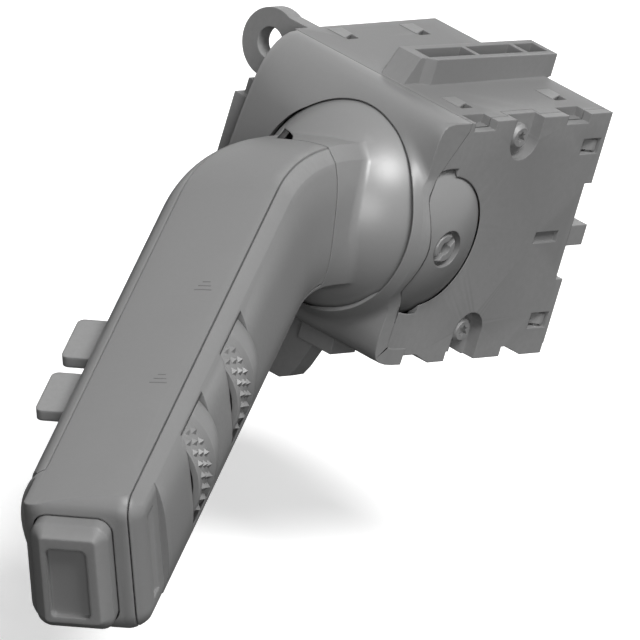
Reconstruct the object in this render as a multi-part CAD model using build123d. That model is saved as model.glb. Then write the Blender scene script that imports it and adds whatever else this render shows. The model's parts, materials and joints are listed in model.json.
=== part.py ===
from build123d import *
import math
import os

# Combination stalk switch for a steering column. Millimetres, +Z up.
# Modelled about the ball pivot, where the lever's two axes cross, and placed
# with the origin on the front face of the mounting ear, at the bore's centre.
# The front cover faces -Y and the open side wall faces +X.

# Mounting ear
EAR_X = -38.6
EAR_Y = 6.0
EAR_Z = 19.1
EAR_THICKNESS = 3.8
EAR_OUTER_R = 7.3
EAR_BORE_R = 3.3

# Housing walls, measured from the pivot
BOX_LEFT = -30.6
BOX_RIGHT = 18.7
BOX_TOP = 25.8
BOX_BOTTOM = -25.2
BOX_REAR = 47.4
WALL = 2.0
FOOT_HEIGHT = 2.1
FIT_GAP = 0.15
LAP = 0.5

# Front cover
COVER_WALL = 1.8
COVER_STEP = 0.8
COVER_SEAM_Y = 1.6
CROWN_R = 74.0
CROWN_LEFT_R = 170.0
COVER_LEAN = 4.0
COVER_FRONT_Y = -10.4
LIP_LEFT_X = 8.0
LIP_BACK_Y = -6.6
LIP_WALL = 0.9

# Ball
BALL_R = 23.1
BALL_WALL = 2.1
BALL_GAP = 0.35
BALL_CAP_ANGLE = 74.0
SIDE_CAP_ANGLE = 47.0
HUB_R = 5.6
HUB_INNER_X = 17.2
HUB_HOLE_R = 4.0
HUB_HOLE_DEPTH = 2.4
VIEW_RIGHT = Vector(0.7293, 0.6263, 0.2753)
VIEW_TOWARDS = Vector(0.5594, -0.7775, 0.2870)
BALL_WINDOW = [(-20.0, 10.4), (-16.1, 15.5), (-15.0, 14.7), (-14.4, 13.8), (-15.3, 11.0), (-18.0, 8.0)]

# Pivots
TRUNNION_R = 3.2
PIN_R = 2.0
RUNNING_GAP = 0.05
SIDE_GAP = 0.4
YOKE_RING_R = 16.4
YOKE_RING_BORE_R = 12.2
YOKE_RING_DEPTH = 7.0
PIN_SEAT_DEPTH = 1.2
PIN_INNER_Z = 17.4
YOKE_POST_R = 3.4
TRUNNION_SLOT_ANGLE = 50.0
TRUNNION_BORE_R = 1.4
SLIT_HALF = 0.8
BARB = 0.4
BARB_LENGTH = 1.5

# Stalk: the neck leaves the ball along -Y and bends to the stalk axis
NECK_LENGTH = 34.1
STALK_AXIS = Vector(0.481, -0.819, -0.313).normalized()
STALK_SIDE = Vector(0.872, 0.408, 0.270)
BEND_R = 45.0
STALK_LENGTH = 134.4
SHELL_START_Y = 26.0
SHELL_WALL = 1.8
SEAM_W = 8.8
SEAM_GAP = 0.3
TRIM_END_T = 120.0
TIP_WALL = 4.0
TIP_ROUND = 4.5
TIP_CORNER = 5.0
TIP_START_T = 121.6
TIP_INNER_W = 9.6
NECK_INSET = 2.3
NECK_WALL = 2.0
NECK_START_Y = 14.0
NECK_INTO_STALK = 4.0
NECK_ROUND = 2.5
TIP_LOW = (-13.4, -15.6)
TIP_HIGH = (11.4, 15.9)
TRIM_SEAM = ((-14.2, 16.4), (-9.0, 9.0))
TRIM_LOW_V = -4.0
TRIM_TAPER = 14.0
RIM_V = -12.0
GROOVE_R = 3.0
GROOVE_W = 13.5
GROOVE_T = 127.0
GROOVE_LENGTH = 19.0
CHASSIS_V = -10.2
CHASSIS_THICKNESS = 2.0
CHASSIS_START_T = 14.0
CHASSIS_END_T = 121.0
LEVER_BOARD_W = (-12.0, -4.6)
LEVER_BOARD_V = 0.2
LEVER_BOARD_THICKNESS = 1.0
LEVER_BOARD_T = (44.0, 114.0)
BOARD_SCREW_W = -6.6
BOARD_SCREW_T = (47.0, 111.0)
SEAT_HALF = 1.8
SMALL_HEAD_R = 1.5
SMALL_HEAD_HEIGHT = 1.1
SMALL_SHANK_R = 0.8
SMALL_SCREW_LENGTH = 5.0
KEY_SWITCH_W = -9.6
KEY_SWITCH_SIZE = (4.0, 0.9)
TIP_SWITCH_SIZE = (6.0, 3.6)

# Thumb wheels
WHEEL_R = 15.6
WHEEL_W = -0.2
WHEEL_V = 0.8
WHEEL_WIDTH = 15.6
WHEEL_FIRST_T = 63.4
WHEEL_PITCH = 30.8
WHEEL_HALF_ANGLE = 44.0
WHEEL_GAP = 0.4
WHEEL_TRAVEL = 8.0
WHEEL_RIM = 2.4
WHEEL_KNURL_WIDTH = 7.6
KNURL_DEPTH = 0.9
STUD_R = 1.25
STUD_ROOT = 0.3
STUD_TAPER = 35
STUD_ROWS = 3
STUD_ROW_PITCH = 2.2
STUD_COUNT = 8
AXLE_R = 1.5
AXLE_HUB_R = 3.4
AXLE_OVERHANG = 2.6
AXLE_POST = 3.2

# Side paddles
PADDLE_T = (59.1, 79.3)
PADDLE_LENGTH = 14.6
PADDLE_TOP_V = 5.0
PADDLE_THICKNESS = 2.3
PADDLE_REACH_W = -23.4
PADDLE_INNER_W = -8.2
PADDLE_CORNER = 1.5
PADDLE_TRAVEL = 1.0
PADDLE_GAP = 0.35

# End button
BUTTON_W = (-10.4, 5.4)
BUTTON_V = (-12.4, 11.4)
BUTTON_PROUD = 5.0
TROUGH_LOW = (-7.0, -9.0)
TROUGH_HIGH = (1.2, 6.8)
TROUGH_DEPTH = 1.6
TROUGH_CORNER = 1.2
BUTTON_GAP = 0.3
BUTTON_FLANGE = 1.0
BUTTON_CORNER = 3.0
BUTTON_BEVEL = 2.2

# Detent
PLUNGER_R = 2.4
PLUNGER_TIP_Y = 29.0
TRACK_GAP = 0.5
ARM_R = 5.0
ARM_END_Y = 25.0
ARM_PLATE_R = 13.0
SPRING_ROOM = 16.0
SPRING_R = 1.9
SPRING_WIRE_R = 0.25
SPRING_PITCH = 1.2
PLUNGER_TRAVEL = 2.0
SENSOR_X = 5.0
SENSOR_Z = 10.0
SENSOR_SIDE = 6.0
SENSOR_HEIGHT = 1.4
PLUNGER_LENGTH = 6.0
TRACK_FRONT_Y = 23.0
TRACK_BACK_Y = 35.0
TRACK_HALF_HEIGHT = 9.0

# Rear
REAR_PLATE = 2.0
REAR_PLATE_Y = 43.0
BOARD_THICKNESS = 1.6
BOARD_Y = 37.6

# Side cover and the screws that hold it
SIDE_SEAM_X = 16.7
SCREW_HEAD_R = 2.7
SCREW_HEAD_HEIGHT = 1.7
SCREW_SHANK_R = 1.4
SCREW_LENGTH = 8.0
SCREW_POINT = 0.5
HEAD_BEVEL = 0.7
RECESS_SHARE = 0.54
RECESS_DEPTH = 0.9
SCREW_Y = 20.8
SCREW_Z = (21.2, -21.4)
POCKET_R = 4.5
POCKET_DEPTH = 2.8
POCKET_FLOOR = 1.5
CUP_MARGIN = 0.6
POST_HALF = 5.6
POST_INNER_X = 5.0
NOTCH_Y = ((3.0, 10.0), (33.2, 40.4))
NOTCH_DEPTH = 1.9
NOTCH_INNER_X = 14.6
SNAP_Y = (40.4, 46.2)
CATCH_GAP = 0.5
SNAP_Z = ((16.8, 20.2), (-21.6, -18.2))
LATCH_LOW = (33.8, -2.4)
LATCH_HIGH = (41.2, 0.0)
LATCH_DEPTH = 0.9
REAR_STEP_Y = 45.1
REAR_STEP_Z = (-11.0, 10.2)

# Guide rail and marks on the top
RAIL_LEFT = -7.4
RAIL_RIGHT = 0.0
RAIL_WALL = 1.6
RAIL_FRONT_Y = (2.4, 6.0)
RAIL_BACK_Y = 49.2
RAIL_HEIGHT = (5.6, 4.9)
RAIL_RIB_Y = (8.4, 25.0, 40.7, 48.4)
RAIL_RIB = 1.4
RAIL_FLOOR = 0.3
RAIL_NARROW_Y = (7.6, 10.0)
RAIL_NARROW = 1.3
TOP_WINDOWS = ((-26.4, 13.0), (-25.8, 35.6), (9.0, 8.4), (8.8, 39.2))
WINDOW_X = 5.0
WINDOW_Y = 3.6
WINDOW_DEPTH = 1.2
WINDOW_WEDGE = [(-0.5, -1.8), (1.9, -1.8), (0.5, 1.4)]

# Blocks on the left and bottom
STRIP_X = -36.3
STRIP_Y = (-4.0, 4.0)
STRIP_Z = (-8.9, 10.0)
STRIP_LEDGE_X = -35.0
STRIP_LEDGE_Z = 13.4
FEET_Y = ((5.6, 10.4, 15.6), (19.3, 24.6, 33.6), (34.9, 40.4, 47.2))
FOOT_WIDTH = 4.0
LUG = [(-24.0, -24.0), (-2.0, -24.0), (-5.0, -32.8), (-7.4, -39.2), (-8.6, -41.4), (-11.0, -42.8),
       (-15.0, -42.8), (-17.4, -41.4), (-18.6, -39.2), (-21.0, -32.8)]
LUG_Y = (4.0, 8.5)
BLOCK_LOW = (-8.0, 2.0, -32.6)
BLOCK_HIGH = (1.0, 10.0, -24.0)

# Rear connector and tab
SOCKET_LOW = (-24.0, -8.0)
SOCKET_HIGH = (-2.0, 4.0)
SOCKET_WALL = 1.5
SOCKET_END_Y = 57.0
SOCKET_FLOOR = 2.0
KEYWAY_HALF = 2.0
KEYWAY_LENGTH = 5.0
CONTACT_COLUMNS = 7
CONTACT_ROWS = 2
CONTACT_SIDE = 0.64
CONTACT_PITCH = 2.54
CONTACT_END_Y = 52.0
CONTACT_TAIL = 1.2
CONTACT_GAP = 0.05
TAB_LOW = (8.0, -4.0)
TAB_HIGH = (17.8, 0.4)
TAB_END_Y = 51.4

SECTION = [
    (-11.4, 12.9), (-8.0, 13.9), (-2.0, 14.9), (4.0, 15.5), (8.8, 15.4),
    (11.2, 12.6), (12.4, 8.0), (12.8, 0.0), (12.5, -8.0), (11.0, -13.0), (5.0, -15.2),
    (-6.0, -15.2), (-13.0, -12.6), (-16.2, -4.0), (-17.0, 2.5), (-16.2, 7.4), (-14.2, 11.0),
]

stalk_corner = Vector(0, -NECK_LENGTH, 0)
stalk_plane = Plane(origin=stalk_corner, x_dir=STALK_SIDE, z_dir=STALK_AXIS)
bend_angle = math.acos(STALK_AXIS.dot(Vector(0, -1, 0)))
tangent_length = BEND_R * math.tan(bend_angle / 2)
inner_right = BOX_RIGHT - WALL
inner_left = BOX_LEFT + WALL
inner_top = BOX_TOP - WALL
inner_bottom = BOX_BOTTOM + WALL

parts = {}


def span(low, high):
    """Box between two corners given as (x, y, z)."""
    size = [high[i] - low[i] for i in range(3)]
    centre = [(high[i] + low[i]) / 2 for i in range(3)]
    return Pos(*centre) * Box(*size)


def along_x(radius, low, high, y=0.0, z=0.0):
    return Pos((low + high) / 2, y, z) * Rot(0, 90, 0) * Cylinder(radius, high - low)


def along_y(radius, low, high, x=0.0, z=0.0):
    return Pos(x, (low + high) / 2, z) * Rot(90, 0, 0) * Cylinder(radius, high - low)


def along_z(radius, low, high, x=0.0, y=0.0):
    return Pos(x, y, (low + high) / 2) * Cylinder(radius, high - low)


def in_stalk(shape):
    """Place a shape drawn in stalk coordinates: w sideways, v up, t along the stalk."""
    return stalk_plane.location * shape


def closed_face(*lines):
    """Face inside a closed run of lines and curves."""
    return make_face([edge for line in lines for edge in line.edges()])


def outline(points):
    return make_face(Polyline(*points, close=True))


def inset_points(inset):
    """The section's points, each moved in square to the lines that meet there."""
    moved = []
    for i, point in enumerate(SECTION):
        here = Vector(*point)
        before = (here - Vector(*SECTION[i - 1])).normalized()
        after = (Vector(*SECTION[(i + 1) % len(SECTION)]) - here).normalized()
        inward = Vector(before.Y + after.Y, -before.X - after.X) / (1 + before.dot(after))
        moved.append(here + inward * inset)
    return moved


def section_face(inset):
    """The stalk's cross section, drawn in from its outside by inset."""
    points = inset_points(inset)
    return closed_face(Spline(*points[:5]), Line(points[4], points[5]),
                       Spline(*points[5:10]), Spline(*points[9:13]),
                       Spline(*points[12:], points[0]))


def turned_back(v):
    """Direction in the neck that becomes v after the bend."""
    total = STALK_AXIS + Vector(0, -1, 0)
    along = v.dot(total) / (1 + STALK_AXIS.dot(Vector(0, -1, 0)))
    return v - total * along + Vector(0, -1, 0) * (2 * v.dot(STALK_AXIS))


neck_side = turned_back(stalk_plane.x_dir)
bend_in = Vector(0, tangent_length - NECK_LENGTH, 0)
bend_out = stalk_corner + STALK_AXIS * tangent_length
bend_inward = (STALK_AXIS + Vector(0, STALK_AXIS.dot(Vector(0, -1, 0)), 0)).normalized()
bend_axis = Axis(bend_in + bend_inward * BEND_R, Vector(0, -1, 0).cross(STALK_AXIS))


def along_stalk(face, start_y, end_t):
    """Carry a face drawn in the stalk section along neck, bend and stalk."""
    start = Plane(origin=(0, -start_y, 0), x_dir=neck_side, z_dir=(0, -1, 0)).location * face
    turn = Plane(origin=bend_in, x_dir=neck_side, z_dir=(0, -1, 0)).location * face
    neck = extrude(start, amount=-bend_in.Y - start_y, dir=(0, -1, 0))
    bend = revolve(turn, bend_axis, revolution_arc=math.degrees(bend_angle))
    stalk = extrude(Plane(origin=bend_out, x_dir=STALK_SIDE, z_dir=STALK_AXIS).location * face,
                    amount=end_t - tangent_length, dir=STALK_AXIS)
    return neck + bend + stalk


def front_profile(inset):
    """Side outline of the cover front as (y, z), set back by inset."""
    points = [
        (0.2, 25.8), (-3.4, 25.3), (-6.6, 23.8), (-8.8, 21.4), (-10.4, 17.0), (-11.6, 8.0),
        (-12.4, -4.0), (-12.6, -13.0), (-11.4, -19.6), (-8.4, -24.6), (-4.8, -26.8), (-2.0, -27.2),
    ]
    shrink = 1 - inset / BOX_TOP
    curve = Spline(*[(0, y + inset, z * shrink) for y, z in points])
    top = curve @ 0
    bottom = curve @ 1
    return closed_face(curve, Polyline(bottom, (0, 12, bottom.Z), (0, 12, top.Z), top))


def leaning(shape):
    """Turn a shape by the small forward lean of the cover's lower half."""
    return Rot(-COVER_LEAN, 0, 0) * shape


def front_form(inset):
    """Solid behind the cover front, crowned more to the right than to the left."""
    block = extrude(front_profile(inset), amount=60, dir=(1, 0, 0), both=True)
    left = along_z(CROWN_LEFT_R - inset, -70, 70, y=COVER_FRONT_Y + CROWN_LEFT_R)
    right = along_z(CROWN_R - inset, -70, 70, y=COVER_FRONT_Y + CROWN_R)
    left = leaning(left & span((-60, -60, -70), (0, 90, 70)))
    right = leaning(right & span((0, -60, -70), (60, 90, 70)))
    return (block & left) + (block & right)


def make_lip():
    """Thin band that hugs the ball where the front opening nears the side opening."""
    zone = leaning(span((LIP_LEFT_X, COVER_FRONT_Y, -30), (30, LIP_BACK_Y, 30)))
    return (Sphere(BALL_R + BALL_GAP + LIP_WALL) & zone) - Sphere(BALL_R + BALL_GAP)


def ball_cap(axis, half_angle):
    """Piece of the ball's shell within half_angle of an axis through the pivot."""
    outer = CenterArc((0, 0), BALL_R, 90 - half_angle, half_angle)
    inner = CenterArc((0, 0), BALL_R - BALL_WALL, 90 - half_angle, half_angle)
    face = closed_face(outer, Line(outer @ 0, inner @ 0), inner, Line(inner @ 1, outer @ 1))
    return Plane(origin=(0, 0, 0), z_dir=axis).location * revolve(Plane.XZ * face, Axis.Z)


def save_all():
    os.makedirs("parts", exist_ok=True)
    for name, shape in parts.items():
        solids = shape.solids()
        result = solids[0] if len(solids) == 1 else Compound(children=list(solids))
        export_step(Pos(-EAR_X, -EAR_Y, -EAR_Z) * result, f"parts/{name}.step")


ball_clear = Sphere(BALL_R + BALL_GAP)


# Housing
def make_front_cover():
    skin = front_form(0) - front_form(COVER_WALL)
    skin = skin & span((BOX_LEFT + COVER_STEP, -20, BOX_BOTTOM - FOOT_HEIGHT), (BOX_RIGHT, COVER_SEAM_Y, 40))
    return skin - ball_clear + make_lip()


def make_box():
    """Housing walls with everything moulded on them, before the side cover is cut off."""
    front_y = COVER_SEAM_Y + FIT_GAP
    box = span((BOX_LEFT, front_y, BOX_BOTTOM), (BOX_RIGHT, BOX_REAR, BOX_TOP))
    nose = front_form(COVER_WALL + FIT_GAP) & span(
        (BOX_LEFT + COVER_STEP, -20, BOX_BOTTOM), (BOX_RIGHT, front_y, BOX_TOP - COVER_WALL - FIT_GAP))
    cavity = span((inner_left, -20, inner_bottom), (inner_right, BOX_REAR + 1, inner_top))
    body = box + (nose - Sphere(BALL_R + BALL_GAP + LIP_WALL + FIT_GAP)) - cavity
    body = body + make_posts() + make_feet() + make_left_blocks() + make_lower_blocks() + make_rail()
    body = body - make_top_marks() - make_side_marks() - ball_clear
    return body


def make_posts():
    """Blocks behind the side wall that the side screws go into."""
    upper = span((POST_INNER_X, SCREW_Y - POST_HALF, SCREW_Z[0] - POST_HALF),
                 (inner_right + LAP, SCREW_Y + POST_HALF, inner_top + LAP))
    lower = span((POST_INNER_X, SCREW_Y - POST_HALF, inner_bottom - LAP),
                 (inner_right + LAP, SCREW_Y + POST_HALF, SCREW_Z[1] + POST_HALF))
    return upper + lower


def make_feet():
    """Ramped feet under the box, in two rows."""
    feet = None
    for start, flat, back in FEET_Y:
        side = Plane.YZ * outline([(start, BOX_BOTTOM), (flat, BOX_BOTTOM - FOOT_HEIGHT),
                                   (back, BOX_BOTTOM - FOOT_HEIGHT), (back, BOX_BOTTOM + LAP),
                                   (start, BOX_BOTTOM + LAP)])
        for left in (BOX_LEFT, BOX_RIGHT - FOOT_WIDTH):
            foot = Pos(left, 0, 0) * extrude(side, amount=FOOT_WIDTH, dir=(1, 0, 0))
            feet = foot if feet is None else feet + foot
    return feet


def make_left_blocks():
    strip = span((STRIP_X, STRIP_Y[0], STRIP_Z[0]), (BOX_LEFT + 1, STRIP_Y[1], STRIP_Z[1]))
    ledge = span((STRIP_LEDGE_X, STRIP_Y[0] + 1.5, STRIP_Z[1] - 1),
                 (BOX_LEFT + 1, STRIP_Y[1], STRIP_LEDGE_Z))
    return strip + ledge


def make_lower_blocks():
    lug = Pos(0, LUG_Y[0], 0) * extrude(Plane.XZ * outline(LUG), amount=LUG_Y[1] - LUG_Y[0],
                                        dir=(0, 1, 0))
    return lug + span(BLOCK_LOW, BLOCK_HIGH)


def make_rail():
    """Guide rail on the top, a channel divided by cross ribs."""
    side = outline([(RAIL_FRONT_Y[0], BOX_TOP - LAP), (RAIL_FRONT_Y[1], BOX_TOP + RAIL_HEIGHT[0]),
                    (RAIL_BACK_Y, BOX_TOP + RAIL_HEIGHT[1]), (RAIL_BACK_Y, BOX_TOP),
                    (BOX_REAR, BOX_TOP - LAP)])
    rail = Pos(RAIL_LEFT, 0, 0) * extrude(Plane.YZ * side, amount=RAIL_RIGHT - RAIL_LEFT,
                                          dir=(1, 0, 0))
    for start, stop in zip(RAIL_RIB_Y, RAIL_RIB_Y[1:]):
        rail -= span((RAIL_LEFT + RAIL_WALL, start + RAIL_RIB / 2, BOX_TOP + RAIL_FLOOR),
                     (RAIL_RIGHT - RAIL_WALL, stop - RAIL_RIB / 2, BOX_TOP + 10))
    step = outline([(RAIL_RIGHT - RAIL_NARROW, 0), (RAIL_RIGHT - RAIL_NARROW, RAIL_NARROW_Y[0]),
                    (RAIL_RIGHT, RAIL_NARROW_Y[1]), (RAIL_RIGHT + 1, RAIL_NARROW_Y[1]),
                    (RAIL_RIGHT + 1, 0)])
    return rail - Pos(0, 0, BOX_TOP) * extrude(step, amount=10)


def make_top_marks():
    """Catch windows with a wedge left standing, and the notches that the side cover fills."""
    marks = None
    for x, y in TOP_WINDOWS:
        window = span((x - WINDOW_X / 2, y - WINDOW_Y / 2, BOX_TOP - WINDOW_DEPTH),
                      (x + WINDOW_X / 2, y + WINDOW_Y / 2, BOX_TOP + 1))
        window -= Pos(x, y, BOX_TOP - WINDOW_DEPTH) * extrude(outline(WINDOW_WEDGE), amount=WINDOW_DEPTH)
        marks = window if marks is None else marks + window
    for low, high in NOTCH_Y:
        marks += span((NOTCH_INNER_X, low, BOX_TOP - NOTCH_DEPTH), (BOX_RIGHT + 1, high, BOX_TOP + 1))
    return marks


def make_side_marks():
    """Screw pockets, snap windows, latch recess and stepped edge of the side wall."""
    floor_x = BOX_RIGHT - POCKET_DEPTH
    marks = None
    for z in SCREW_Z:
        pocket = along_x(POCKET_R, floor_x, BOX_RIGHT + 1, y=SCREW_Y, z=z)
        low, high = sorted((z, 40 * z / abs(z)))
        pocket += span((floor_x, SCREW_Y - POCKET_R, low), (BOX_RIGHT + 1, SCREW_Y + POCKET_R, high))
        pocket += along_x(SCREW_SHANK_R + RUNNING_GAP, floor_x - SCREW_LENGTH - CUP_MARGIN, floor_x + 1,
                          y=SCREW_Y, z=z)
        marks = pocket if marks is None else marks + pocket
    for low, high in SNAP_Z:
        marks += span((SIDE_SEAM_X - 1, SNAP_Y[0], low), (BOX_RIGHT + 1, SNAP_Y[1], high))
    marks += span((BOX_RIGHT - LATCH_DEPTH, *LATCH_LOW), (BOX_RIGHT + 1, *LATCH_HIGH))
    return marks + span((SIDE_SEAM_X - 3, REAR_STEP_Y, REAR_STEP_Z[0]),
                        (BOX_RIGHT + 1, BOX_REAR + 1, REAR_STEP_Z[1]))


def side_zone(gap):
    """Room of the side cover: its plate and the two cups that take the screw heads."""
    cup_x = BOX_RIGHT - POCKET_DEPTH - POCKET_FLOOR
    reach = POCKET_R + CUP_MARGIN + gap
    zone = span((SIDE_SEAM_X - gap, -20, -60), (BOX_RIGHT + 5, BOX_REAR + 5, 60))
    for low, high in NOTCH_Y:
        zone -= span((SIDE_SEAM_X - 1, low + gap, inner_top + gap), (BOX_RIGHT + 6, high - gap, 60))
    for z in SCREW_Z:
        low, high = sorted((z - reach * z / abs(z), 60 * z / abs(z)))
        zone += span((cup_x - gap, SCREW_Y - reach, low), (SIDE_SEAM_X + LAP, SCREW_Y + reach, high))
    return zone


def make_main_housing():
    return whole_box - side_zone(FIT_GAP) + make_ear() - ear_bore() - make_gimbal_pins()


def make_side_cover():
    return (whole_box - make_lower_blocks()) & side_zone(0)


def make_screw(head_r, head_height, shank_r, length):
    """Pan head screw along Z with a six-point recess, its seat at the origin."""
    profile = outline([(0, -length), (shank_r - SCREW_POINT, -length), (shank_r, SCREW_POINT - length),
                       (shank_r, 0), (head_r, 0), (head_r, head_height - HEAD_BEVEL),
                       (head_r - HEAD_BEVEL, head_height),
                       (0, head_height)])
    screw = revolve(Plane.XZ * profile, Axis.Z)
    for turn in (0, 60):
        bar = Rot(0, 0, turn) * extrude(RegularPolygon(head_r * RECESS_SHARE, 3), amount=2)
        screw -= Pos(0, 0, head_height - RECESS_DEPTH) * bar
    return screw


def make_side_screws():
    floor_x = BOX_RIGHT - POCKET_DEPTH
    return Compound(children=[
        Pos(floor_x, SCREW_Y, z) * Rot(0, 90, 0) * make_screw(SCREW_HEAD_R, SCREW_HEAD_HEIGHT,
                                                             SCREW_SHANK_R, SCREW_LENGTH)
        for z in SCREW_Z])


def make_ear():
    ring = along_y(EAR_OUTER_R, EAR_Y, EAR_Y + EAR_THICKNESS, x=EAR_X, z=EAR_Z)
    arm = span((EAR_X, EAR_Y, EAR_Z - EAR_OUTER_R), (BOX_LEFT, EAR_Y + EAR_THICKNESS,
                                                     BOX_TOP))
    return ring + arm


def ear_bore():
    return along_y(EAR_BORE_R, EAR_Y - 1, EAR_Y + EAR_THICKNESS + 1, x=EAR_X, z=EAR_Z)


# Ball and neck
def make_ball():
    cap = ball_cap((0, -1, 0), BALL_CAP_ANGLE)
    for side in (-1, 1):
        hub = along_x(HUB_R, HUB_INNER_X, BALL_R) & Sphere(BALL_R - BALL_WALL / 2)
        cap += ball_cap((side, 0, 0), SIDE_CAP_ANGLE)
        cap += Rot(0, 0, 90 - 90 * side) * hub
    neck = along_stalk(section_face(NECK_INSET), NECK_START_Y, tangent_length + NECK_INTO_STALK)
    bore = along_stalk(section_face(NECK_INSET + NECK_WALL), NECK_START_Y - 4,
                       tangent_length + NECK_INTO_STALK + 1)
    cuff = along_stalk(section_face(0), NECK_START_Y, tangent_length + NECK_INTO_STALK)
    cuff = cuff & span((-40, SEAM_GAP - SHELL_START_Y, -40), (40, 0, 40))
    cap = cap + ((neck + cuff) - Sphere(BALL_R - BALL_WALL / 2))
    rim = [e for e in cap.edges() if max(abs((e @ s).length - BALL_R) for s in (0, 0.3, 0.7, 1)) < 0.01
           and max((e @ 0).Y, (e @ 1).Y) < -12.5]
    cap = fillet(rim, NECK_ROUND) - bore
    for side in (-1, 1):
        turn = Rot(0, 0, 90 - 90 * side)
        cap -= turn * along_x(TRUNNION_R + RUNNING_GAP, HUB_INNER_X - 1, BALL_R + 1)
        cap -= turn * along_x(HUB_HOLE_R, BALL_R - HUB_HOLE_DEPTH, BALL_R + 1)
    window = Plane(origin=(0, 0, 0), x_dir=VIEW_RIGHT, z_dir=VIEW_TOWARDS).location * outline(BALL_WINDOW)
    return cap - extrude(window, amount=BALL_R + 5, dir=VIEW_TOWARDS)


# Gimbal yoke and its pins
def make_yoke():
    ring = along_y(YOKE_RING_R, -YOKE_RING_DEPTH / 2, YOKE_RING_DEPTH / 2)
    shoulder = HUB_INNER_X - SIDE_GAP
    for side in (-1, 1):
        turn = Rot(0, 0, 90 - 90 * side)
        ring += turn * along_x(4.6, YOKE_RING_R - 2, shoulder)
        ring += turn * make_trunnion(shoulder)
        low, high = sorted((side * (YOKE_RING_R - 2), side * (BALL_R - BALL_WALL - 0.6)))
        ring += along_z(YOKE_POST_R, low, high)
    ring -= along_y(YOKE_RING_BORE_R, -YOKE_RING_DEPTH, YOKE_RING_DEPTH)
    for side in (-1, 1):
        low, high = sorted((side * (PIN_INNER_Z - 0.3), side * BALL_R))
        ring -= along_z(PIN_R + RUNNING_GAP, low, high)
    return ring


def make_trunnion(shoulder):
    """Split snap pin on +X: shaft, barbed nose and the slot that lets it close."""
    seat = BALL_R - HUB_HOLE_DEPTH + SIDE_GAP / 2
    profile = outline([(0, shoulder - 1), (TRUNNION_R, shoulder - 1), (TRUNNION_R, seat),
                       (TRUNNION_R + BARB, seat + BARB / 2), (TRUNNION_R - BARB, seat + BARB_LENGTH),
                       (0, seat + BARB_LENGTH)])
    pin = revolve(Plane.XZ * profile, Axis.Z)
    root = shoulder + SLIT_HALF
    slot = span((-SLIT_HALF, -BALL_R, root), (SLIT_HALF, BALL_R, BALL_R + 1))
    bore = Pos(0, 0, BALL_R) * Cylinder(TRUNNION_BORE_R, 2 * (BALL_R - root))
    return Rot(0, 90, 0) * (pin - Rot(0, 0, TRUNNION_SLOT_ANGLE) * slot - bore)


def make_gimbal_pins():
    return Compound(children=[
        along_z(PIN_R, PIN_INNER_Z, inner_top + PIN_SEAT_DEPTH),
        along_z(PIN_R, inner_bottom - PIN_SEAT_DEPTH, -PIN_INNER_Z)])


# Stalk shells, each a share of one skin round the stalk
def tip_form():
    """Block with rounded end edges that shapes the stalk's tip."""
    block = span((*TIP_LOW, 0), (*TIP_HIGH, STALK_LENGTH))
    block = fillet(block.edges().filter_by(Axis.Z), TIP_CORNER)
    block = fillet(block.faces().sort_by(Axis.Z)[-1].edges(), TIP_ROUND)
    return in_stalk(block)


def local_span(low, high):
    """Box between two corners given in stalk coordinates."""
    return in_stalk(span(low, high))


def make_skin():
    end = local_span((-25, -25, TIP_START_T), (25, 25, STALK_LENGTH + 3))
    form = along_stalk(section_face(0), NECK_START_Y, STALK_LENGTH) - (end - tip_form())
    cavity = along_stalk(section_face(SHELL_WALL), NECK_START_Y, STALK_LENGTH - TIP_WALL)
    cavity -= local_span((TIP_INNER_W, -25, TIP_START_T - 2), (25, 25, STALK_LENGTH))
    return (form - cavity) & span((-100, -250, -150), (150, -SHELL_START_Y, 100))


def share(points):
    """Everything along the stalk whose section lies inside an outline."""
    return along_stalk(outline(points), NECK_START_Y, STALK_LENGTH + 2)


def trim_seam(side):
    """The two ends of the cut between upper shell and left trim, moved to one side of it."""
    outer, inner = Vector(*TRIM_SEAM[0]), Vector(*TRIM_SEAM[1])
    along = (inner - outer).normalized()
    shift = Vector(-along.Y, along.X) * (side * half_seam)
    return [(outer + shift).to_tuple()[:2], (inner + shift).to_tuple()[:2]]


half_seam = SEAM_GAP / 2
trim_zone = local_span((-20, -20, -60), (20, 20, TRIM_END_T - half_seam))
tip_zone = local_span((-20, -20, TRIM_END_T + half_seam), (SEAM_W - half_seam, 20, STALK_LENGTH + 2))
skin = make_skin()


def wheel_stations():
    return [WHEEL_FIRST_T + i * WHEEL_PITCH for i in range(2)]


def wheel_space():
    """Room that the two thumb wheels turn in."""
    room = None
    half = WHEEL_HALF_ANGLE + WHEEL_TRAVEL + 3
    for t in wheel_stations():
        disc = Cylinder(WHEEL_R + WHEEL_GAP, WHEEL_WIDTH + 2 * WHEEL_GAP, arc_size=2 * half,
                        align=(Align.NONE, Align.NONE, Align.CENTER))
        disc = Pos(WHEEL_W, WHEEL_V, t) * Rot(0, 0, -half) * disc
        room = disc if room is None else room + disc
    return in_stalk(room)


def button_space(gap):
    low = (BUTTON_W[0] - gap, BUTTON_V[0] - gap, STALK_LENGTH - TIP_WALL - 1)
    high = (BUTTON_W[1] + gap, BUTTON_V[1] + gap, STALK_LENGTH + 1)
    block = span(low, high)
    return in_stalk(fillet(block.edges().filter_by(Axis.Z), BUTTON_CORNER + gap))


def make_upper_shell():
    outer, inner = trim_seam(1)
    region = share([outer, (outer[0], 21), (SEAM_W - half_seam, 21), (SEAM_W - half_seam, 8), inner])
    return (skin & region) + (skin & tip_zone) - wheel_space() - button_space(BUTTON_GAP)


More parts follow.
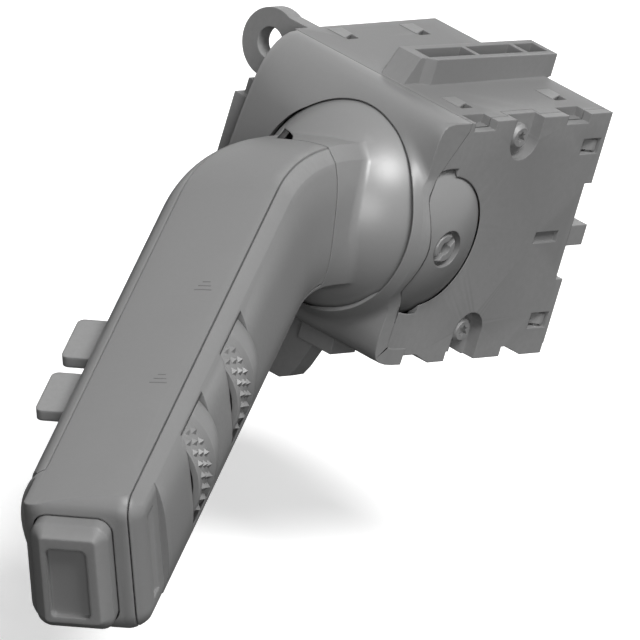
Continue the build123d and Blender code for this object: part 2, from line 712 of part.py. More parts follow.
def make_side_panel():
    edge = SEAM_W + half_seam
    region = share([(edge, 21), (19, 21), (19, RIM_V + half_seam), (edge, RIM_V + half_seam)])
    end = local_span((edge, -20, TRIM_END_T + half_seam), (20, 20, STALK_LENGTH + 2))
    groove = in_stalk(Pos(GROOVE_W, 0, GROOVE_T) * Rot(90, 0, 0) * Cylinder(GROOVE_R, GROOVE_LENGTH))
    return (skin & region) + (skin & end) - wheel_space() - groove


def make_left_trim():
    outer, inner = trim_seam(-1)
    region = share([(-19, TRIM_LOW_V + half_seam), (-19, outer[1]), outer, inner,
                    (inner[0], TRIM_LOW_V + half_seam)])
    trim = (skin & region) & trim_zone
    taper = outline([(TIP_LOW[0], TRIM_END_T), (TIP_LOW[0] - 7, TRIM_END_T),
                     (TIP_LOW[0] - 7, TRIM_END_T - TRIM_TAPER)])
    trim -= in_stalk(Pos(0, 20, 0) * extrude(Plane.XZ * taper, amount=40, dir=(0, -1, 0)))
    for t in PADDLE_T:
        trim -= local_span((-19, PADDLE_TOP_V - PADDLE_THICKNESS - PADDLE_GAP - PADDLE_TRAVEL,
                            t - PADDLE_LENGTH / 2 - PADDLE_GAP),
                           (-9, PADDLE_TOP_V + PADDLE_GAP, t + PADDLE_LENGTH / 2 + PADDLE_GAP))
    return trim


def make_lower_shell():
    region = share([(-19, TRIM_LOW_V - half_seam), (-19, -21), (19, -21),
                    (19, RIM_V - half_seam), (5, RIM_V - half_seam), (-9, TRIM_LOW_V - half_seam)])
    return (skin & region) & trim_zone


# Chassis inside the stalk, which carries the wheels, the board and the keys
def make_chassis():
    bar = span((-8, CHASSIS_V, CHASSIS_START_T), (6, CHASSIS_V + CHASSIS_THICKNESS, CHASSIS_END_T))
    for t in wheel_stations():
        for end in (-1, 1):
            face = t + end * (WHEEL_WIDTH / 2 + AXLE_OVERHANG / 2)
            bar += span((WHEEL_W - AXLE_POST, CHASSIS_V, face - AXLE_POST / 4),
                        (WHEEL_W + AXLE_POST, WHEEL_V + AXLE_POST, face + AXLE_POST / 4))
    for t in wheel_stations():
        bar -= Pos(WHEEL_W, WHEEL_V, t) * Cylinder(AXLE_R, WHEEL_WIDTH + 3 * AXLE_OVERHANG)
    for t in BOARD_SCREW_T:
        bar += span((BOARD_SCREW_W - SEAT_HALF, CHASSIS_V, t - SEAT_HALF),
                    (BOARD_SCREW_W + SEAT_HALF, LEVER_BOARD_V - LEVER_BOARD_THICKNESS, t + SEAT_HALF))
    for t in BOARD_SCREW_T:
        bar -= Pos(BOARD_SCREW_W, 0, t) * Rot(90, 0, 0) * Cylinder(SMALL_SHANK_R + RUNNING_GAP, 40)
    bar += span((-6.0, CHASSIS_V, CHASSIS_END_T - CHASSIS_THICKNESS), (3.0, 4.0, CHASSIS_END_T))
    return in_stalk(bar)


def make_lever_board():
    board = span((LEVER_BOARD_W[0], LEVER_BOARD_V - LEVER_BOARD_THICKNESS, LEVER_BOARD_T[0]),
                 (LEVER_BOARD_W[1], LEVER_BOARD_V, LEVER_BOARD_T[1]))
    for t in BOARD_SCREW_T:
        board -= Pos(BOARD_SCREW_W, 0, t) * Rot(90, 0, 0) * Cylinder(SMALL_SHANK_R + RUNNING_GAP, 10)
    return in_stalk(board)


def make_board_screws():
    """Small screws that hold the lever board on the chassis."""
    return Compound(children=[
        in_stalk(Pos(BOARD_SCREW_W, LEVER_BOARD_V, t) * Rot(-90, 0, 0) * make_screw(
            SMALL_HEAD_R, SMALL_HEAD_HEIGHT, SMALL_SHANK_R, SMALL_SCREW_LENGTH))
        for t in BOARD_SCREW_T])


def make_key_switch(t):
    """Push switch on the lever board under a side key."""
    width, height = KEY_SWITCH_SIZE
    body = span((KEY_SWITCH_W - width / 2, LEVER_BOARD_V, t - width / 2),
                (KEY_SWITCH_W + width / 2, LEVER_BOARD_V + height, t + width / 2))
    cap = Pos(KEY_SWITCH_W, LEVER_BOARD_V + height, t) * Rot(90, 0, 0) * Cylinder(width / 4, height)
    return in_stalk(body + cap)


def make_tip_switch():
    """Push switch on the chassis end, behind the end button."""
    width, height = TIP_SWITCH_SIZE
    body = Pos(-width / 4, 0, CHASSIS_END_T + height / 2) * Box(width, width, height)
    cap = Pos(-width / 4, 0, CHASSIS_END_T + height) * Cylinder(width / 4, height / 2)
    return in_stalk(body + cap)


def make_axles():
    length = WHEEL_WIDTH + 2 * AXLE_OVERHANG
    return Compound(children=[
        in_stalk(Pos(WHEEL_W, WHEEL_V, t) * Cylinder(AXLE_R, length)) for t in wheel_stations()])


def make_wheel(t):
    """Thumb wheel: a sector of rim on a web and hub, knurled on the tip side."""
    half = WHEEL_WIDTH / 2
    crown = Spline((WHEEL_R - 1.1, -half), (WHEEL_R - 0.1, -half + 4.5),
                   (WHEEL_R, half - WHEEL_KNURL_WIDTH - 1.0))
    step = half - WHEEL_KNURL_WIDTH
    rim = closed_face(crown, Polyline(crown @ 1, (WHEEL_R - KNURL_DEPTH, step),
                                      (WHEEL_R - KNURL_DEPTH, half - 0.4),
                                      (WHEEL_R - 1.2, half), (WHEEL_R - WHEEL_RIM, half),
                                      (WHEEL_R - WHEEL_RIM, -half), crown @ 0))
    rim = revolve(Plane.XZ * rim, Axis.Z, revolution_arc=2 * WHEEL_HALF_ANGLE)
    web = closed_face(Polyline((AXLE_HUB_R - 1, -1.2), (WHEEL_R - WHEEL_RIM + LAP, -1.2),
                               (WHEEL_R - WHEEL_RIM + LAP, 1.2), (AXLE_HUB_R - 1, 1.2), close=True))
    web = revolve(Plane.XZ * web, Axis.Z, revolution_arc=2 * WHEEL_HALF_ANGLE)
    wheel = Rot(0, 0, -WHEEL_HALF_ANGLE) * (rim + web) + Cylinder(AXLE_HUB_R, WHEEL_WIDTH)
    wheel += make_studs()
    wheel -= Cylinder(AXLE_R + RUNNING_GAP, WHEEL_WIDTH + 2)
    return in_stalk(Pos(WHEEL_W, WHEEL_V, t) * wheel)


def make_studs():
    """Staggered rows of pointed studs on the wheel's tip side."""
    tip = WHEEL_R - KNURL_DEPTH
    stud = extrude(RegularPolygon(STUD_R, 4), amount=KNURL_DEPTH + STUD_ROOT, taper=STUD_TAPER)
    pitch = 2 * WHEEL_HALF_ANGLE / (STUD_COUNT + 0.5)
    studs = []
    for row in range(STUD_ROWS):
        height = WHEEL_WIDTH / 2 - WHEEL_KNURL_WIDTH + STUD_R + FIT_GAP + row * STUD_ROW_PITCH
        for i in range(STUD_COUNT):
            angle = (i + 0.5 + row % 2 * 0.5) * pitch - WHEEL_HALF_ANGLE
            studs.append(Rot(0, 0, angle) * Pos(tip - STUD_ROOT, 0, height) * Rot(0, 90, 0) * stud)
    return studs


def make_paddle(t):
    """Side key: a rounded blade outside the trim and a stem under it."""
    low = (PADDLE_REACH_W, PADDLE_TOP_V - PADDLE_THICKNESS, t - PADDLE_LENGTH / 2)
    high = (PADDLE_INNER_W, PADDLE_TOP_V, t + PADDLE_LENGTH / 2)
    blade = span(low, high)
    corners = [e for e in blade.edges().filter_by(Axis.Y) if e.center().X < PADDLE_REACH_W + 1]
    return in_stalk(fillet(corners, PADDLE_CORNER))


def make_button():
    """End button: bevelled cap with a finger trough, and a flange inside the shell."""
    low_t = STALK_LENGTH - TIP_WALL - BUTTON_FLANGE - BUTTON_GAP
    front = STALK_LENGTH + BUTTON_PROUD
    cap = span((BUTTON_W[0], BUTTON_V[0], low_t), (BUTTON_W[1], BUTTON_V[1], front))
    cap = fillet(cap.edges().filter_by(Axis.Z), BUTTON_CORNER)
    cap = chamfer(cap.faces().sort_by(Axis.Z)[-1].edges(), BUTTON_BEVEL)
    trough = span((*TROUGH_LOW, front - TROUGH_DEPTH), (*TROUGH_HIGH, front + 1))
    trough = fillet(trough.edges().filter_by(Axis.Z), TROUGH_CORNER)
    flange = span((BUTTON_W[0] - BUTTON_FLANGE, BUTTON_V[0] - BUTTON_FLANGE, low_t),
                  (BUTTON_W[1] + BUTTON_FLANGE, BUTTON_V[1] + BUTTON_FLANGE, low_t + BUTTON_FLANGE))
    room = Pos(0, 0, low_t - 1) * extrude(section_face(SHELL_WALL + BUTTON_GAP), amount=9)
    return in_stalk(cap - trough + (flange & room))


# Detent inside the housing
def make_arm():
    """Tail of the lever, through the yoke ring to the detent track."""
    tube = along_y(ARM_R, -BALL_R + BALL_WALL - 0.2, ARM_END_Y)
    disc = along_y(ARM_PLATE_R, -BALL_R, -BALL_R + BALL_WALL + 6) & Sphere(BALL_R - BALL_WALL)
    bore = along_y(PLUNGER_R + RUNNING_GAP, ARM_END_Y - SPRING_ROOM, ARM_END_Y + 1)
    return tube + disc - bore


def make_spring():
    """Detent spring, drawn at its shortest so that the plunger has its travel."""
    start = ARM_END_Y - SPRING_ROOM
    height = SPRING_ROOM - PLUNGER_LENGTH - PLUNGER_TRAVEL - 2 * SPRING_WIRE_R - FIT_GAP
    coil = Helix(SPRING_PITCH, height, SPRING_R)
    wire = sweep(Plane(origin=coil @ 0, z_dir=coil % 0) * Circle(SPRING_WIRE_R), path=coil)
    return Pos(0, start + SPRING_WIRE_R, 0) * Rot(-90, 0, 0) * wire


def make_sensor():
    """Position sensor on the front of the board, opposite the lever's magnet."""
    return span((SENSOR_X, BOARD_Y - SENSOR_HEIGHT, SENSOR_Z),
                (SENSOR_X + SENSOR_SIDE, BOARD_Y, SENSOR_Z + SENSOR_SIDE))


def make_plunger():
    """Sprung pin with a round nose that rides on the track."""
    shaft = along_y(PLUNGER_R, ARM_END_Y - PLUNGER_LENGTH, PLUNGER_TIP_Y - PLUNGER_R)
    return shaft + Pos(0, PLUNGER_TIP_Y - PLUNGER_R, 0) * Sphere(PLUNGER_R)


def make_detent_block():
    block = span((inner_left, TRACK_FRONT_Y, -TRACK_HALF_HEIGHT),
                 (inner_right, TRACK_BACK_Y, TRACK_HALF_HEIGHT))
    return block - Sphere(PLUNGER_TIP_Y + TRACK_GAP)


def make_board():
    board = span((inner_left + LAP, BOARD_Y, inner_bottom + LAP),
                 (inner_right - LAP, BOARD_Y + BOARD_THICKNESS, inner_top - LAP))
    return board - make_contacts(CONTACT_GAP)


def contact_places():
    middle_x = (SOCKET_LOW[0] + SOCKET_HIGH[0]) / 2
    middle_z = (SOCKET_LOW[1] + SOCKET_HIGH[1]) / 2
    return [(middle_x + (i - (CONTACT_COLUMNS - 1) / 2) * CONTACT_PITCH,
             middle_z + (j - (CONTACT_ROWS - 1) / 2) * CONTACT_PITCH)
            for i in range(CONTACT_COLUMNS) for j in range(CONTACT_ROWS)]


def make_contacts(gap):
    """Contact pins from the board to the socket, grown by gap for their holes."""
    half = CONTACT_SIDE / 2 + gap
    reach = 1 if gap else 0
    return Compound(children=[
        span((x - half, BOARD_Y - CONTACT_TAIL - reach, z - half),
             (x + half, CONTACT_END_Y + reach, z + half))
        for x, z in contact_places()])


def make_connector():
    """Socket open to the rear, with a keyway along its top."""
    start = REAR_PLATE_Y + REAR_PLATE
    shell = span((SOCKET_LOW[0], start, SOCKET_LOW[1]), (SOCKET_HIGH[0], SOCKET_END_Y, SOCKET_HIGH[1]))
    shell -= span((SOCKET_LOW[0] + SOCKET_WALL, start + SOCKET_FLOOR, SOCKET_LOW[1] + SOCKET_WALL),
                  (SOCKET_HIGH[0] - SOCKET_WALL, SOCKET_END_Y + 1, SOCKET_HIGH[1] - SOCKET_WALL))
    middle = (SOCKET_LOW[0] + SOCKET_HIGH[0]) / 2
    shell -= span((middle - KEYWAY_HALF, SOCKET_END_Y - KEYWAY_LENGTH, SOCKET_HIGH[1] - SOCKET_WALL - 1),
                  (middle + KEYWAY_HALF, SOCKET_END_Y + 1, SOCKET_HIGH[1] + 1))
    return shell - make_contacts(CONTACT_GAP)


def make_rear_cover():
    """Rear plate with snap catches, the tab and the window under the connector."""
    gap = FIT_GAP
    back = REAR_PLATE_Y + REAR_PLATE
    plate = span((inner_left + gap, REAR_PLATE_Y, inner_bottom + gap),
                 (inner_right - gap, back, inner_top - gap))
    plate -= span((SOCKET_LOW[0] + 2, 0, SOCKET_LOW[1] + 2), (SOCKET_HIGH[0] - 2, 60, SOCKET_HIGH[1] - 2))
    front, rear = SNAP_Y[0] + CATCH_GAP, SNAP_Y[1] - CATCH_GAP
    catch = outline([(inner_right - 1, front), (inner_right - gap, front),
                     (BOX_RIGHT - LAP, rear - 1), (BOX_RIGHT - LAP, rear), (inner_right - 1, rear)])
    for low, high in SNAP_Z:
        plate += Pos(0, 0, low + CATCH_GAP) * extrude(catch, amount=high - low - 2 * CATCH_GAP,
                                                      dir=(0, 0, 1))
    plate += span((TAB_LOW[0], back - LAP, TAB_LOW[1]), (inner_right - gap, TAB_END_Y, TAB_HIGH[1]))
    return plate + span((TAB_LOW[0], REAR_STEP_Y + gap, TAB_LOW[1]), (TAB_HIGH[0], TAB_END_Y, TAB_HIGH[1]))


whole_box = make_box()
parts["front_cover"] = make_front_cover() - make_gimbal_pins()
parts["main_housing"] = make_main_housing()
parts["side_cover"] = make_side_cover()
parts["side_screws"] = make_side_screws()
parts["gimbal_pins"] = make_gimbal_pins()
parts["gimbal_yoke"] = make_yoke()
parts["ball_dome"] = make_ball()
parts["lever_arm"] = make_arm()
parts["detent_plunger"] = make_plunger()
parts["detent_spring"] = make_spring()
parts["position_sensor"] = make_sensor()
parts["detent_block"] = make_detent_block()
parts["circuit_board"] = make_board()
parts["rear_cover"] = make_rear_cover()
parts["connector_shell"] = make_connector()
parts["connector_pins"] = make_contacts(0)
parts["upper_shell"] = make_upper_shell()
parts["side_panel"] = make_side_panel()
parts["left_trim"] = make_left_trim()
parts["lower_shell"] = make_lower_shell()
parts["stalk_chassis"] = make_chassis()
parts["wheel_axles"] = make_axles()
parts["lever_board"] = make_lever_board()
parts["board_screws"] = make_board_screws()
parts["tip_switch"] = make_tip_switch()
for number, station in enumerate(wheel_stations(), 1):
    parts[f"thumb_wheel_{number}"] = make_wheel(station)
for number, station in enumerate(PADDLE_T, 1):
    parts[f"side_key_{number}"] = make_paddle(station)
    parts[f"key_switch_{number}"] = make_key_switch(station)
parts["end_button"] = make_button()

if __name__ == "__main__":
    save_all()
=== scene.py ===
# %% [markdown]
# Combination stalk switch. The part is a steering column lever: a box with a ball in its
# front, a bent grip with two thumb wheels, two side keys and a button on its end.
# The imported solids give the forms, and only the front cover, four pads and a few ticks are
# made here. So this lesson is mostly about finish: how one grey moulded plastic is told from the
# next by its grain, its gloss and the highlight painted along its edges.

# %% Load the fixed frame
import json
import math

import bmesh
import bpy
from mathutils import Matrix, Vector


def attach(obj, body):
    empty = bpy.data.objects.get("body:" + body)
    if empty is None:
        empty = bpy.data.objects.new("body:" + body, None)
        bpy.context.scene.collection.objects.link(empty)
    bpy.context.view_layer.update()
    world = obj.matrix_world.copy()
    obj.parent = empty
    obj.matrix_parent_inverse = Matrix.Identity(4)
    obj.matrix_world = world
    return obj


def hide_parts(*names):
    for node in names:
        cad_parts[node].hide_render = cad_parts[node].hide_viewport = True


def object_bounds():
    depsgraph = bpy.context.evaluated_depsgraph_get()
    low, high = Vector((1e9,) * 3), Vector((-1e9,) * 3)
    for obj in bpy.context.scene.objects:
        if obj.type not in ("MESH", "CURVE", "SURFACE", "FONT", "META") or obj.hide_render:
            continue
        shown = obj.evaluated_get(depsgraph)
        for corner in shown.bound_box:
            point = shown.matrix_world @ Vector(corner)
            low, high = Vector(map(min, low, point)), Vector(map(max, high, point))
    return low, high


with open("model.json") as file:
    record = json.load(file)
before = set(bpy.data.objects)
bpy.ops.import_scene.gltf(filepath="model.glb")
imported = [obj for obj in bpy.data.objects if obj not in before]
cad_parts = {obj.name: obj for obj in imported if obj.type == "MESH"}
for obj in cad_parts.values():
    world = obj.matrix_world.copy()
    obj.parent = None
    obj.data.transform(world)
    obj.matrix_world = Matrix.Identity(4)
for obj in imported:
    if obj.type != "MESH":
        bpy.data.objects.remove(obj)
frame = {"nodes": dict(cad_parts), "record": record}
cad_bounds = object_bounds()
MM = 0.001

# %% [markdown]
# Shader maths reads best as arithmetic. A small class wraps a socket, so that
# `0.5 + grain * 0.1` adds the Math nodes by itself. One function fills a socket, by a link
# or by a plain value, for this class and for the bench that follows.


# %% A socket that takes part in sums
def feed(tree, slot, value):
    """Link a Wire or a socket to a slot, or write a plain value into it."""
    if isinstance(value, Wire):
        value = value.socket
    if isinstance(value, bpy.types.NodeSocket):
        tree.links.new(value, slot)
    else:
        slot.default_value = value


class Wire:
    """A shader value. Sums and products with it add Math nodes to its tree."""

    def __init__(self, tree, socket):
        self.tree = tree
        self.socket = socket

    def _math(self, operation, *values, clamp=False):
        node = self.tree.nodes.new("ShaderNodeMath")
        node.operation = operation
        node.use_clamp = clamp
        for slot, value in zip(node.inputs, values):
            feed(self.tree, slot, value)
        return Wire(self.tree, node.outputs[0])

    def __add__(self, other):
        return self._math("ADD", self, other)

    def __sub__(self, other):
        return self._math("SUBTRACT", self, other)

    def __mul__(self, other):
        return self._math("MULTIPLY", self, other)

    def __rsub__(self, other):
        return self._math("SUBTRACT", other, self)

    __radd__ = __add__
    __rmul__ = __mul__

    def clamped(self):
        return self._math("ADD", self, 0.0, clamp=True)

    def above(self, level, softness):
        """0 below the level and 1 above it, with a soft step."""
        return self._math("MULTIPLY_ADD", self, 1 / softness, 0.5 - level / softness, clamp=True)


# %% [markdown]
# Every finish starts from the same bench: a Principled shader in its own tree, the point in
# the object's space, and one method that adds a node with its settings and its inputs.


# %% The bench that a finish is made on
class Finish:
    """One material under construction."""

    def __init__(self, name):
        self.material = bpy.data.materials.new(name)
        self.material.use_nodes = True
        self.tree = self.material.node_tree
        self.shader = self.tree.nodes["Principled BSDF"]
        self.place = self.node("TexCoord").outputs["Object"]

    def node(self, kind, settings=(), inputs=()):
        made = self.tree.nodes.new("ShaderNode" + kind)
        for key, value in dict(settings).items():
            setattr(made, key, value)
        for key, value in dict(inputs).items():
            feed(self.tree, made.inputs[key], value)
        return made

    def noise(self, scale, detail=2.0, roughness=0.5):
        made = self.node("TexNoise", inputs={"Vector": self.place, "Scale": scale,
                                             "Detail": detail, "Roughness": roughness})
        return Wire(self.tree, made.outputs["Fac"])

    def mix(self, amount, low, high):
        """Colour between two others. A Mix node's colour sockets are found by number."""
        made = self.node("Mix", {"data_type": "RGBA"}, {0: amount, 6: low, 7: high})
        return made.outputs[2]

    def set(self, **values):
        for key, value in values.items():
            feed(self.tree, self.shader.inputs[key.replace("_", " ")], value)
        return self

    def bump(self, height, distance, strength=1.0, edge_radius=0.0):
        """Bump from a height, over the normals that a Bevel node has rounded at the edges."""
        made = self.node("Bump", inputs={"Height": height, "Distance": distance,
                                         "Strength": strength})
        if edge_radius:
            rounded = self.node("Bevel", {"samples": 4}, {"Radius": edge_radius})
            self.tree.links.new(rounded.outputs["Normal"], made.inputs["Normal"])
        self.tree.links.new(made.outputs["Normal"], self.shader.inputs["Normal"])
        return self


def grey(level):
    """Linear colour of a neutral grey given as the 0 to 255 level that a screen shows."""
    s = level / 255
    linear = ((s + 0.055) / 1.055) ** 2.4 if s > 0.04045 else s / 12.92
    return (linear, linear, linear, 1)


# %% [markdown]
# Moulded plastic: an etched tool leaves a fine pebble grain of about a third of a
# millimetre, and the melt leaves faint clouds in the gloss. The outer edges get a painted
# highlight, a paler colour, and there the plastic is also a little glossier.
# Noise in object space gives each at its true size, with no unwrapping. A Geometry node's
# Pointiness is high on outer edges, so it finds where the edge highlight is painted. A
# Bevel node turns the normals near an edge, as a mould's broken corners do.
# Noise scales count waves in a metre.

# %% Moulded plastics
CLOUD_WAVES, FINE_WAVES = 55.0, 900.0
EDGE_FROM, EDGE_SOFT = 0.56, 0.08
# The last of these sets how much paler the painted edge highlight is than the body.
DARK_CLOUD, PALE_CLOUD, EDGE_HIGHLIGHT_PALE = 0.965, 1.035, 1.22
BUMP_STRENGTH = 0.5


# The argument after depth_mm scales the painted edge highlight; 0 leaves it out.
def moulded(name, level, roughness, sheen_level=0.2, grain_mm=0.35, depth_mm=0.012, highlight_strength=1.0,
            edge_mm=0.3):
    finish = Finish(name)
    grain = finish.noise(1 / (grain_mm * MM), detail=3.0, roughness=0.6)
    cloud = finish.noise(CLOUD_WAVES, detail=3.0)
    fine = finish.noise(FINE_WAVES, detail=2.0)
    edge = Wire(finish.tree, finish.node("NewGeometry").outputs["Pointiness"])
    # Painted highlight: the outer edges that Pointiness finds, broken up by fine noise, are painted
    # paler and made glossier.
    edge_highlight = edge.above(EDGE_FROM, EDGE_SOFT) * (fine * 0.6 + 0.5) * highlight_strength
    body = finish.mix((cloud * 0.7 + fine * 0.3).clamped(), grey(level * DARK_CLOUD),
                      grey(level * PALE_CLOUD))
    # The body colour is lifted to a paler grey on those edges, as a painted highlight.
    colour = finish.mix((edge_highlight * 0.5).clamped(), body, grey(level * EDGE_HIGHLIGHT_PALE))
    gloss = roughness + (cloud - 0.5) * 0.10 + (grain - 0.5) * 0.08 - edge_highlight * 0.10
    finish.set(Base_Color=colour, Roughness=gloss.clamped(), Specular_IOR_Level=sheen_level)
    return finish.bump(grain, depth_mm * MM, BUMP_STRENGTH, edge_mm * MM).material


GREY = 124
housing_plastic = moulded("housing_plastic", GREY, 0.50)
cover_plastic = moulded("cover_plastic", GREY, 0.38, 0.5, grain_mm=0.3, depth_mm=0.008)
grip_plastic = moulded("grip_plastic", GREY, 0.42, 0.35, grain_mm=0.28, depth_mm=0.010, edge_mm=0.5)
control_plastic = moulded("control_plastic", GREY, 0.38, 0.4, grain_mm=0.22, depth_mm=0.006,
                          edge_mm=0.8)
wheel_plastic = moulded("wheel_plastic", GREY, 0.40, 0.4, grain_mm=0.2, depth_mm=0.005,
                        edge_mm=0.15)
bearing_plastic = moulded("bearing_plastic", GREY, 0.38, 0.7, grain_mm=0.5, depth_mm=0.003,
                          highlight_strength=0.4)
black_plastic = moulded("black_plastic", 46, 0.42, 0.5, grain_mm=0.4, depth_mm=0.006, highlight_strength=0.5)
print("grey plastics at level", GREY)

# %% [markdown]
# Unfilled nylon inside the switch is milky, a little yellow, and light goes some way into it.
# A warm pale base with a trace of subsurface light tells it from the painted greys.


# %% Natural nylon
def milky_nylon(name):
    finish = Finish(name)
    flow = finish.noise(120.0, detail=3.0)
    finish.set(Base_Color=finish.mix(flow, (0.56, 0.53, 0.45, 1), (0.66, 0.64, 0.56, 1)),
               Roughness=(0.42 + (flow - 0.5) * 0.1).clamped(),
               Subsurface_Weight=0.15, Subsurface_Scale=1.0 * MM)
    return finish.bump(flow, 0.01 * MM, 0.3).material


inner_plastic = milky_nylon("inner_plastic")
print("nylon", inner_plastic.name)

# %% [markdown]
# Metals and boards: ground pins show fine turning marks, contacts are brass with a thin
# tin skin that wears yellow, and a board is green lacquer that stands a hair proud over
# its copper tracks.


# %% Metal and board
def turned_metal(name, pale, deep, roughness, metallic=1.0):
    finish = Finish(name)
    rings = finish.noise(2500.0, detail=2.0)
    patches = finish.noise(400.0, detail=2.0).above(0.5, 0.3)
    finish.set(Base_Color=finish.mix(patches, pale, deep), Metallic=metallic,
               Roughness=(roughness + rings * 0.15).clamped())
    return finish.bump(rings, 0.004 * MM, 0.4).material


def solder_mask():
    finish = Finish("solder_mask")
    tracks = finish.noise(350.0, detail=1.0).above(0.52, 0.02)
    finish.set(Base_Color=finish.mix(tracks, (0.012, 0.07, 0.03, 1), (0.02, 0.12, 0.05, 1)),
               Roughness=(0.28 + tracks * 0.06).clamped())
    return finish.bump(tracks, 0.03 * MM, 0.5).material


steel = turned_metal("ground_steel", grey(176), grey(160), 0.28)
brass = turned_metal("contact_brass", (0.62, 0.60, 0.52, 1), (0.62, 0.47, 0.22, 1), 0.24)
dull_zinc = turned_metal("dull_zinc", grey(150), grey(132), 0.5, metallic=0.35)
board_mask = solder_mask()
print("metals 3, board 1")

# %% [markdown]
# The record gives each node's slot, so one table from slot to finish dresses everything.
# A few nodes differ: the ball is smoother than the box, the wheels keep their studs sharp, the
# screws are as grey as the walls in the photograph, and so is the yoke's end in the ball's side.

# %% Dress the solids
finishes = {
    "housing_grey": housing_plastic, "shell_grey": grip_plastic, "control_grey": control_plastic,
    "natural_nylon": inner_plastic, "black_plastic": black_plastic, "steel": steel,
    "contact_brass": brass, "board_green": board_mask,
}
slots = {row["node"]: row["material_slot"] for row in frame["record"]["subparts"]}
special = {"ball_dome": bearing_plastic, "side_screws": dull_zinc, "gimbal_yoke": cover_plastic,
           "thumb_wheel_1": wheel_plastic, "thumb_wheel_2": wheel_plastic}
for name, node in frame["nodes"].items():
    finish = special.get(name, finishes[slots[name]])
    node.data.materials.clear()
    node.data.materials.append(finish)
print("dressed", len(slots))

# %% [markdown]
# The front cover is one blended moulding: its top edge rolls over with a radius that grows
# from right to left, and on the right it swells into a thin band that hugs the ball. Fillets
# of changing radius are hard for solids, and easy for a grid of points. The grid runs from
# the ball's opening out to the cover's four edges, so each ring is an echo of both shapes.
# Each row here is a distance up the cover, then (y, z) of its left edge and of its right.
# The band's weight grows with x, later where z is high, so the band fades out to the left.

# %% The cover's two edge curves, in millimetres about the ball's centre
PIVOT = Vector((38.6, -6.0, -19.1)) * MM
COVER_ROWS = [
    (29.0, (1.6, 25.8), (1.6, 25.8)), (27.6, (-0.8, 25.5), (-3.8, 25.9)),
    (25.2, (-3.9, 23.8), (-6.6, 25.0)), (21.5, (-6.5, 20.2), (-7.6, 21.6)),
    (14.5, (-8.2, 14.0), (-7.8, 14.5)), (4.0, (-9.5, 4.0), (-7.9, 4.0)),
    (-7.0, (-10.3, -6.6), (-7.9, -7.0)), (-16.0, (-10.6, -15.4), (-7.8, -16.0)),
    (-22.0, (-10.3, -21.2), (-8.0, -21.8)), (-25.8, (-7.9, -25.2), (-7.0, -25.6)),
    (-28.2, (-4.0, -26.8), (-3.6, -26.9)), (-31.0, (1.6, -27.2), (1.6, -27.2)),
]
COVER_LEFT, COVER_RIGHT = -29.8, 18.72
BULGE = 2.2
BULGE_FADE = (2, 15)
BALL_CLEAR_R = 23.45
BAND_R = 24.4
BAND_INNER, BAND_OUTER = 21.4, 22.6
BAND_LEAN = 0.025
BAND_TILT = 0.4
BAND_FADE = (0, 16)
BAND_SOFTNESS = 2.0
BAND_SUNK = 0.15
COVER_WALL = 1.8
SKIRT = 1.8
CHEEK = ((1.6, 24.0), (-5.0, 13.5))


def placed(name, mesh, material):
    """Put a bmesh in the scene as an object with one material."""
    bmesh.ops.recalc_face_normals(mesh, faces=mesh.faces)
    data = bpy.data.meshes.new(name)
    mesh.to_mesh(data)
    mesh.free()
    data.materials.append(material)
    made = bpy.data.objects.new(name, data)
    bpy.context.scene.collection.objects.link(made)
    return made


def ramp(value, low, high):
    """0 at low and 1 at high, with soft ends."""
    t = min(max((value - low) / (high - low), 0), 1)
    return t * t * (3 - 2 * t)


def along_rows(s):
    """Left and right edge points at s, on cubic curves through the rows."""
    rows = COVER_ROWS
    i = next((k for k in range(len(rows) - 2) if rows[k + 1][0] <= s), len(rows) - 2)
    a, b = rows[i], rows[i + 1]
    before, after = rows[max(i - 1, 0)], rows[min(i + 2, len(rows) - 1)]
    step = b[0] - a[0]
    t = (s - a[0]) / step
    ends = []
    for side in (1, 2):
        p, q = Vector(a[side]), Vector(b[side])
        slope_p = (q - Vector(before[side])) / (b[0] - before[0]) * step
        slope_q = (Vector(after[side]) - p) / (after[0] - a[0]) * step
        ends.append(p * (2 * t**3 - 3 * t**2 + 1) + slope_p * (t**3 - 2 * t**2 + t)
                    + q * (3 * t**2 - 2 * t**3) + slope_q * (t**3 - t**2))
    return ends


def cover_point(x, s):
    """Point of the cover's outer face, x to the right and s up along it."""
    s = min(max(s, COVER_ROWS[-1][0]), COVER_ROWS[0][0])
    left, right = along_rows(s)
    u = (x - COVER_LEFT) / (COVER_RIGHT - COVER_LEFT)
    y, z = left.lerp(right, u)
    if 0 < u < 1:
        y -= BULGE * 4 * u * (1 - u) * ramp(COVER_ROWS[0][0] - abs(s), *BULGE_FADE)
    room = BAND_R**2 - x * x - z * z
    if room > 0:
        proud = y + math.sqrt(room)
        blend = 0.5 * (proud + math.sqrt(proud**2 + BAND_SOFTNESS)) - BAND_SUNK
        y -= blend * ramp(x - BAND_TILT * z, *BAND_FADE)
    return Vector((x, y, z))


print("cover rows", len(COVER_ROWS))

# %% [markdown]
# The inner face lies one wall behind the outer one along its normal. Where that would come
# too near the ball, the point is pushed out to the ball's clearance, which cuts the opening's
# edge to the sphere just as a cutter would.

# %% The cover
CREASE_DEG = 40
SIDE_STEPS = 44
RINGS = 20
HALF_STEP = 0.05
OPENING_LIMIT = 26.0
HALVINGS = 24
EDGE_SOFTNESS = 0.3
EDGE_REACH = 20
SKIRT_FADE = (16.5, 18.5)
RING_SPREAD = 0.35


def cover_normal(x, s):
    across = cover_point(x + HALF_STEP, s) - cover_point(x - HALF_STEP, s)
    up = cover_point(x, s + HALF_STEP) - cover_point(x, s - HALF_STEP)
    return across.cross(up).normalized()


def opening_radius(direction):
    """Distance along a direction at which the cover's face clears the ball."""

    def clears(r):
        return cover_point(direction.x * r, direction.y * r).length > BALL_CLEAR_R

    low, high = BAND_INNER * (1 + BAND_LEAN * direction.y), OPENING_LIMIT
    if clears(low):
        return low
    for _ in range(HALVINGS):
        half_way = (low + high) / 2
        if clears(half_way):
            high = half_way
        else:
            low = half_way
    return high


